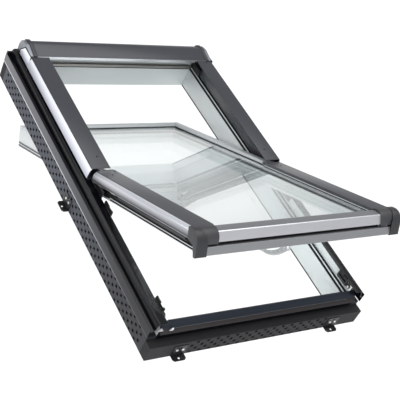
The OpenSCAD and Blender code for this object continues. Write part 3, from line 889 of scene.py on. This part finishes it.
# %% Ribbed stile strips
strip_low, strip_high = closed_box("rebate_strip_left")
for side, sign in SIDES:
    outer, inner, foot, top = strip_low[0], strip_high[0], strip_low[2], strip_high[2]
    groove, tip = outer + 5, outer + 0.5
    section = [(inner, top), (outer + 1, top), (outer, top - 1), (outer, top - 2.6), (groove, top - 4)]
    for rib in (top - 13, foot + 9):
        section += [(groove, rib + 2.5), (tip, rib + 1.4), (tip, rib - 1.2), (groove, rib - 2.5)]
    section += [(outer + 1, foot + 2.4), (outer + 1, foot), (inner, foot)]
    obj = bar(section, (strip_low[1], strip_high[1]), axis="Y")
    for polygon in obj.data.polygons:
        # The outermost faces of the lips and ribs are painted pale: painted highlights
        painted_highlight_face = polygon.normal.x < -0.9 and polygon.center.x < (outer + 2) * MM
        polygon.material_index = 1 if painted_highlight_face else 0
    on_side(obj, sign)
    smooth(obj)
    obj.data.transform(TILT)
    coats = [rubber_and_painted_shade, grey_white]
    settle(obj, "ribbed_strip_" + side, SASH, coats, ["rebate_strip_" + side])
print("ribbed strips", round(strip_high[1] - strip_low[1]), "mm long")

# %% [markdown]
# The lower corners of the sash are closed by moulded caps in two steps. The outer step is a tall side
# shell that runs from the cover down past the lower band. The inner step is shorter and more rounded,
# and stops at the bottom of the silver band. The inner face of the shell is painted black as painted
# shadow, and it leans outwards as it rises, so a dark gap shows between the two.

# %% Corner caps of the sash
cap_low, cap_high = closed_box("cap_left")
cap_out = abs(cap_low[0])
cap_in = abs(cap_high[0])
cap_split = cap_in + 38
cap_back = cap_high[1] - into_cap - 0.5
cap_round, cap_lean = 36, 13
cap_coats = [cap_plastic, rubber_and_painted_shade, cap_inner]


def cap_line(inset, foot, under):
    """Outline of a corner cap in y and z: its face set back by inset, then the corners underneath."""
    back, front, top = cap_back, cap_low[1] + inset, cap_high[2] - inset * 0.2
    face = [(back, top, 0.8), (front, top, cap_round - inset), (front + 3, foot, 2.5)]
    return rounded(face + under, 10)


def sash_cap(sign):
    """One corner cap, built on the left and mirrored for the right."""
    back = cap_back
    shell = bar(cap_line(0, 96, [(-605, 96, 2), (-598, 127, 3), (back, 137.5, 1)]), (-cap_out, -cap_split))
    top, foot = cap_high[2], 128
    for vertex in shell.data.vertices:
        if vertex.co.x > -(cap_split + 5) * MM:
            rise = min(max((vertex.co.z / MM - foot) / (top - foot), 0.0), 1.0)
            vertex.co.x -= cap_lean * MM * rise * rise
    apply_bevel(shell, 3.5, 5, 50)
    drum = bar(
        cap_line(5, 127.5, [(-602, 127.5, 2), (-598, 134, 1), (-586, 150, 2), (back, 154, 1)]),
        (-cap_split - 16, -cap_in),
    )
    apply_bevel(drum, 2.5, 4, 50)
    for obj in (shell, drum):
        for material in cap_coats:
            obj.data.materials.append(material)
    for polygon in drum.data.polygons:
        polygon.material_index = 2
    for polygon in shell.data.polygons:
        # The inner face of the shell is painted black: painted shadow
        polygon.material_index = 1 if polygon.normal.x > 0.85 else 0
    piece = join(shell, drum)
    return on_side(piece, sign)


for side, sign in SIDES:
    piece = sash_cap(sign)
    smooth(piece, 40)
    piece.data.transform(TILT)
    settle(piece, "sash_corner_cap_" + side, SASH, cap_coats, ["cap_" + side])
print("corner caps from", round(cap_in), "to", round(cap_out), "mm")

# %% [markdown]
# The hood ends in a cap as well. Its inner part is dark and wraps over the hood like a band. Outside of
# it sits a satin side plate with a rounded rim, which carries a painted reflection that fades dark towards
# its foot. On the plate lies a bright tongue with the same kind of painted reflection, over a slightly
# larger black sheet that paints a shadow line round the tongue.

# %% End caps of the hood
hood_low, hood_high = rest_box("hood")
hood_cap_low, hood_cap_high = rest_box("hood_cap_left")
hood_coats = [cap_plastic, hood_side, rubber_and_painted_shade, upper_side]


def hood_outline(grow, foot=116):
    """Outline of the hood's end, grown outwards in millimetres."""
    front, back, top = hood_low[1] - grow, hood_high[1] + grow, hood_high[2] + grow
    return rounded(
        [
            (front, 158 - grow, 1),
            (front, 172 + grow, 2.5),
            (back - 46, top, 8),
            (back - 12, top - 6, 18),
            (back, top - 30, 24),
            (back, foot, 3),
            (back - 20, foot, 3),
            (back - 34, 150, 5),
        ],
        8,
    )


def hood_cap(sign):
    """One hood end, built on the left and mirrored for the right."""
    outer, inner = abs(hood_cap_low[0]), abs(hood_cap_high[0])
    split = inner + 13
    wrap = bar(hood_outline(1.2), (-split, -inner))
    apply_bevel(wrap, 1.2, 3, 50)
    plate = bar(hood_outline(-1.5, 108), (-outer + 1.8, -split - 0.4))
    apply_bevel(plate, 5.0, 5, 50)
    # A black sheet a little larger than the tongue: a painted shadow line round it
    gap = bar(
        rounded([(503.5, 126, 0), (503.5, 172, 0), (558, 172, 7), (588, 143, 9), (585, 126, 5)], 5),
        (-outer + 0.6, -outer + 2.4),
    )
    tongue = bar(
        rounded([(505.5, 128, 0), (505.5, 169, 0), (556, 169, 6), (584, 142, 8), (582, 128, 5)], 5),
        (-outer, -outer + 2.4),
    )
    apply_bevel(tongue, 0.8, 2, 50)
    pieces = (wrap, plate, gap, tongue)
    for index, obj in enumerate(pieces):
        for material in hood_coats:
            obj.data.materials.append(material)
        for polygon in obj.data.polygons:
            polygon.material_index = index
    piece = join(*pieces)
    return on_side(piece, sign)


for side, sign in SIDES:
    piece = hood_cap(sign)
    smooth(piece, 40)
    settle(piece, "hood_end_" + side, FRAME, hood_coats, ["hood_cap_" + side])
print("hood ends", round(hood_cap_high[0] - hood_cap_low[0]), "mm wide")

# %% [markdown]
# ## The foam collar
# A collar of dark foam insulates the frame. Its outer faces are pressed with rows of small pits. Each
# face starts as a grid. Every other cell, staggered from row to row, is inset, its corners are cut to
# make it round, and it is pushed in. The faces inside the pits are painted black as painted shade. The
# rim of the grid is then pulled back and closed, which gives the collar its thickness.

# %% Pitted faces


PIT_CELL, PIT, PIT_DEPTH = (17.5, 13.6), 8.5, 3.5


def pitted_wall(length, height, thick, margin=1):
    """A wall standing on X with its pitted face towards -Y, from 0 to length and 0 to height, in mm.
    The margin is how many columns at each end stay bare."""
    columns, rows = round(length / PIT_CELL[0]), round(height / PIT_CELL[1])
    bpy.ops.object.select_all(action="DESELECT")
    bpy.ops.mesh.primitive_grid_add(x_subdivisions=columns, y_subdivisions=rows, size=1)
    obj = bpy.context.object
    for vertex in obj.data.vertices:
        x, y = vertex.co.x + 0.5, vertex.co.y + 0.5
        vertex.co = (x * length * MM, 0, y * height * MM)
    for polygon in obj.data.polygons:
        column = int(polygon.center.x / (length * MM) * columns)
        row = int(polygon.center.z / (height * MM) * rows)
        edge = column < margin or column >= columns - margin
        polygon.select = (column + row) % 2 == 0 and not edge
    for part in (obj.data.vertices, obj.data.edges):
        part.foreach_set("select", [False] * len(part))
    bpy.context.tool_settings.mesh_select_mode = (False, False, True)
    bpy.ops.object.mode_set(mode="EDIT")
    bpy.ops.mesh.inset(thickness=2 * MM, use_individual=True)
    bpy.ops.object.mode_set(mode="OBJECT")
    for polygon in obj.data.polygons:
        if polygon.select:
            centre = polygon.center.copy()
            for index in polygon.vertices:
                corner = obj.data.vertices[index].co
                for i in (0, 2):
                    corner[i] = centre[i] + math.copysign(PIT / 2 * MM, corner[i] - centre[i])
    bpy.ops.object.mode_set(mode="EDIT")
    bpy.ops.mesh.bevel(offset=PIT * 0.29 * MM, affect="VERTICES", segments=1)
    bpy.ops.mesh.extrude_region_move(TRANSFORM_OT_translate={"value": (0, PIT_DEPTH * MM, 0)})
    bpy.ops.mesh.select_all(action="DESELECT")
    bpy.ops.mesh.select_mode(type="EDGE")
    bpy.ops.mesh.select_non_manifold()
    bpy.ops.mesh.extrude_edges_move(TRANSFORM_OT_translate={"value": (0, thick * MM, 0)})
    bpy.ops.mesh.edge_face_add()
    bpy.ops.mesh.select_all(action="SELECT")
    bpy.ops.mesh.normals_make_consistent(inside=False)
    bpy.ops.object.mode_set(mode="OBJECT")
    # The faces inside the pits are painted black: painted shade
    for polygon in obj.data.polygons:
        pit_painted_shade = 1 * MM < polygon.center.y < (PIT_DEPTH + 0.5) * MM and polygon.area < 100 * MM * MM
        polygon.material_index = 1 if pit_painted_shade else 0
    return obj


def place_wall(wall, turn, place):
    """Turns a wall about Z in degrees and moves it, in its mesh."""
    move = Matrix.Translation(Vector(place) * MM)
    wall.data.transform(move @ Matrix.Rotation(math.radians(turn), 4, "Z"))
    return wall


print("pit cells of", PIT_CELL, "mm")


# %% [markdown]
# The four walls use the same function and differ in length, height and turn. The side walls take a
# lighter, lit copy of the foam with painted shade along it, and the sill and head a darker, shaded copy.
# The sides and the head are pitted almost to their ends, and the front keeps a bare stretch at each corner.

# %% The four walls of the collar
collar_low, collar_high = rest_box("collar_left")
thick = collar_high[0] - collar_low[0]
side_length = collar_high[1] - collar_low[1]
side_height = collar_high[2] - collar_low[2]
for side, turn, corner in (
    ("left", -90, (collar_low[0], collar_high[1], 0)),
    ("right", 90, (-collar_low[0], collar_low[1], 0)),
):
    wall = place_wall(pitted_wall(side_length, side_height, thick), turn, corner)
    smooth(wall)
    settle(wall, "pitted_collar_" + side, FRAME, [foam, rubber_and_painted_shade], ["collar_" + side])
for end, turn in (("sill", 0), ("head", 180)):
    end_low, end_high = rest_box("collar_" + end)
    bare = 8 if end == "sill" else 2
    wall = pitted_wall(end_high[0] - end_low[0], end_high[2], end_high[1] - end_low[1], margin=bare)
    corner = (end_low[0], end_low[1], 0) if end == "sill" else (end_high[0], end_high[1], 0)
    place_wall(wall, turn, corner)
    smooth(wall)
    settle(wall, "pitted_collar_" + end, FRAME, [foam_shaded_copy, rubber_and_painted_shade], ["collar_" + end])
print("collar walls:", round(side_length), "x", round(side_height), "mm")

# %% [markdown]
# ## Small fittings
# A moulded filler closes each upper corner of the rebate under the hood. It is a block with bevelled
# edges.

# %% Corner fillers
for side, sign in SIDES:
    filler = block((-352, 507, 95.5), (-341, 570.5, 121.5))
    apply_bevel(filler, 1.0, 2, 50)
    on_side(filler, sign)
    smooth(filler)
    settle(filler, "corner_filler_" + side, FRAME, black_plastic)
print("fillers under the hood: 2")

# %% [markdown]
# A row of small studs runs along the fold of the sill sheet. One stud is modelled, and an array modifier
# repeats it at an even pitch.

# %% Studs on the sill
stud_pitch, stud_count = 6.9, 96
stud = block((-330, -592.2, 94.9), (-326.6, -591.4, 95.6))
repeat = stud.modifiers.new("repeat", "ARRAY")
repeat.use_relative_offset = False
repeat.use_constant_offset = True
repeat.constant_offset_displace = (stud_pitch * MM, 0, 0)
repeat.count = stud_count
activate(stud)
bpy.ops.object.modifier_apply(modifier="repeat")
smooth(stud)
settle(stud, "sill_studs", FRAME, top_grey)
print("studs:", stud_count, "at", stud_pitch, "mm")

# %% [markdown]
# A dark line runs down the room-side edge of each jamb, where a lining would meet it, and one crosses the
# head. A thin pale lip stands beside the frame seal, and another lies along the upper stop.
# Such lines are only a few millimetres wide, but they draw the edges of the opening.

# %% Edge and seal lines
lining = join(
    block((339.7, -571, 0.2), (341.2, 571, 5)),
    block((-341.2, -571, 0.2), (-339.7, 571, 5)),
    block((-338, 569.6, 95.2), (338, 572, 97.4)),
)
smooth(lining)
settle(lining, "lining_edges", FRAME, rubber_and_painted_shade)

stop_x = -rest_box("upper_stop_right")[0][0]
bead = [(stop_x, 146, 0), (stop_x, 149, 0), (stop_x + 0.8, 148.4, 0.3), (stop_x + 0.8, 146.6, 0.3)]
bead_ends = (upper_low[1] + 2, upper_high[1] - 2)
for side, sign in SIDES:
    seal_lip = bar([(-341.8, 93), (-340.2, 89.8), (-339.5, 90.2), (-341.1, 93.4)], (-566, 566), axis="Y")
    line = on_side(join(seal_lip, bar(rounded(bead, 2), bead_ends, axis="Y")), sign)
    smooth(line)
    settle(line, "seal_line_" + side, FRAME, grey_white)
print("edge lines:", lining.name)

# %% [markdown]
# At the pivot the covers of the sash and of the frame meet, and a shroud on the sash fills the corner
# between them. Below it the outer face of each stile has a dark liner. Above it the shade of two narrow
# grooves is painted as two thin dark strips that stand a millimetre proud. All of them turn with the sash.

# %% Shrouds, liners and painted groove shade of the sash
stile_low, stile_high = closed_box("sash_stile_left")
stile_face, liner_thick, strip_thick = -335.05, 1.15, 1.05
groove_width, groove_rises = 5, (4, 14)


def settle_on_sash(obj, name, side, sign, material):
    """Puts a piece on its side of the sash, tilts it open and settles it."""
    on_side(obj, sign)
    smooth(obj)
    obj.data.transform(TILT)
    settle(obj, name + "_" + side, SASH, material)


for side, sign in SIDES:
    shroud = block((-334, -46.8, 158), (-292.4, -33.5, 169.7))
    apply_bevel(shroud, 1.0, 2, 50)
    settle_on_sash(shroud, "pivot_shroud", side, sign, cover)
    liner = block((stile_face - liner_thick, -560, 137), (stile_face, -50, 160))
    settle_on_sash(liner, "stile_liner", side, sign, rubber_and_painted_shade)
    feet = [stile_low[2] + rise for rise in groove_rises]
    outer, end_y = stile_face - strip_thick, stile_high[1] - 3
    # Two thin dark strips paint the shade of two grooves
    strips = [block((outer, 60, z), (stile_face, end_y, z + groove_width)) for z in feet]
    settle_on_sash(join(*strips), "stile_groove_shade", side, sign, channel_grey)
print("stile", round(stile_high[1] - stile_low[1]), "mm long")

# %% [markdown]
# A catch sits on each jamb near the sill: a black ring with a bright core, each a short cylinder turned
# on its side.

# %% Catch cams


def disc(radius, depth, place, material_index):
    """A cylinder across X, with one of the two materials of the catch."""
    bpy.ops.object.select_all(action="DESELECT")
    bpy.ops.mesh.primitive_cylinder_add(vertices=32, radius=radius * MM, depth=depth * MM)
    obj = bpy.context.object
    obj.data.transform(Matrix.Rotation(math.radians(90), 4, "Y"))
    obj.data.transform(Matrix.Translation(Vector(place) * MM))
    for material in (black_plastic, zinc):
        obj.data.materials.append(material)
    for polygon in obj.data.polygons:
        polygon.material_index = material_index
    return obj


for side, sign in SIDES:
    cam = join(disc(9, 3.5, (-349.8, -556, 114), 0), disc(4, 5, (-349.2, -558, 112), 1))
    apply_bevel(cam, 0.5, 2, 50)
    on_side(cam, sign)
    smooth(cam, 40)
    settle(cam, "catch_cam_" + side, FRAME, [black_plastic, zinc])
print("catch cams: 2")

# %% [markdown]
# Three small plates sit at the left end of the sill, a flat one and two bent ones. What they hold can't
# be seen, so they are modelled as plain sheet.

# %% Latch plates
hook = [(-382, 98, 0), (-368, 98, 0), (-366, 103, 1), (-378, 101, 1)]
tab = [(-346, 97, 0.5), (-334, 97, 0.5), (-330, 107, 2), (-338, 104, 2)]
latch = join(
    block((-385, -597, 97), (-364, -589, 98.6)),
    bar(rounded(hook, 3), (-594.5, -592.5), axis="Y"),
    bar(rounded(tab, 3), (-600, -597), axis="Y"),
)
smooth(latch)
settle(latch, "latch_plates", FRAME, band)
print("latch plates:", len(latch.data.polygons), "faces")

# %% [markdown]
# The lever is a satin grip on the bottom rail, and it turns on its own joint. The two panes get only a
# hairline bevel, because a wide one would act as a lens along the edge.

# %% Soften the lever and glaze the sash
soften("handle", LEVER, satin, 1.5, segments=3)
for node in ("outer_pane", "inner_pane"):
    soften(node, SASH, glass, 0.4, segments=1)
print("glazed")

# %% [markdown]
# ## Floor, light and camera
# The window hangs in a white room over a pale floor, which isn't part of the object.

# %% Floor
low, high = cad_box
bpy.ops.object.select_all(action="DESELECT")
bpy.ops.mesh.primitive_plane_add(size=60, location=(0, 0, low.z - 0.62))
floor = bpy.context.object
floor.name = "studio_floor"
floor.data.materials.append(finish("pale floor", (0.92, 0.92, 0.92), 0.9, amount=0.0, bump=0.0))
print("floor at", round(floor.location.z, 3))

# %% [markdown]
# A white sky gives an even base light. The camera sees a brighter sky than the one that lights the
# scene, which a Light Path node switches, so the backdrop stays white without washing out the dark
# covers.

# %% Sky
world = bpy.data.worlds.new("soft white room")
bpy.context.scene.world = world
world.use_nodes = True
sky = world.node_tree.nodes["Background"]
sky.inputs["Color"].default_value = (1, 1, 1, 1)
sky.inputs["Strength"].default_value = 0.42
seen_sky = world.node_tree.nodes.new("ShaderNodeBackground")
seen_sky.inputs["Color"].default_value = (0.97, 0.97, 0.97, 1)
path = world.node_tree.nodes.new("ShaderNodeLightPath")
mix = world.node_tree.nodes.new("ShaderNodeMixShader")
sky_links = world.node_tree.links
sky_links.new(path.outputs["Is Camera Ray"], mix.inputs["Fac"])
sky_links.new(sky.outputs["Background"], mix.inputs[1])
sky_links.new(seen_sky.outputs["Background"], mix.inputs[2])
sky_links.new(mix.outputs["Shader"], world.node_tree.nodes["World Output"].inputs["Surface"])
print("sky strength", round(sky.inputs["Strength"].default_value, 2))

# %% [markdown]
# Three large lamps add shape: one at the left for the side faces, one overhead for the tops and one in
# front for the bands. Large lamps give soft shadows and wide, calm highlights.

# %% Lamps


def lamp(name, place, aim, size, watts):
    """A square area lamp that looks at a point."""
    data = bpy.data.lights.new(name, "AREA")
    data.shape = "SQUARE"
    data.size = size
    data.energy = watts
    obj = bpy.data.objects.new(name, data)
    bpy.context.scene.collection.objects.link(obj)
    obj.location = place
    obj.rotation_euler = (Vector(aim) - Vector(place)).to_track_quat("-Z", "Y").to_euler()
    return obj


lamp("left softbox", (-4.2, 1.6, 1.9), (0, 0, 0.1), 2.6, 60)
lamp("overhead softbox", (1.0, 1.5, 12.0), (0, 0, 0), 14.0, 1500)
lamp("front softbox", (-1.5, -5.0, 1.6), (0, 0, 0.1), 2.5, 130)

# %% [markdown]
# The camera looks down from the front left with a long lens, so lines that are parallel stay nearly so.
# A small shift sets the framing without turning the camera. The plain view transform keeps the white
# surroundings white.

# %% Camera
camera_data = bpy.data.cameras.new("camera")
camera_data.sensor_width = 36
camera_data.lens = 85.35
camera_data.shift_x = 0.0036
camera_data.shift_y = 0.006
camera = bpy.data.objects.new("camera", camera_data)
bpy.context.scene.collection.objects.link(camera)
camera.location = (-1.742, -1.815, 1.976)
camera.rotation_euler = (math.radians(48.71), math.radians(-21.70), math.radians(-28.06))
bpy.context.scene.camera = camera
bpy.context.scene.view_settings.view_transform = "Standard"
print("camera", round((Vector(camera.location) - pivot).length, 2), "m from the pivot")
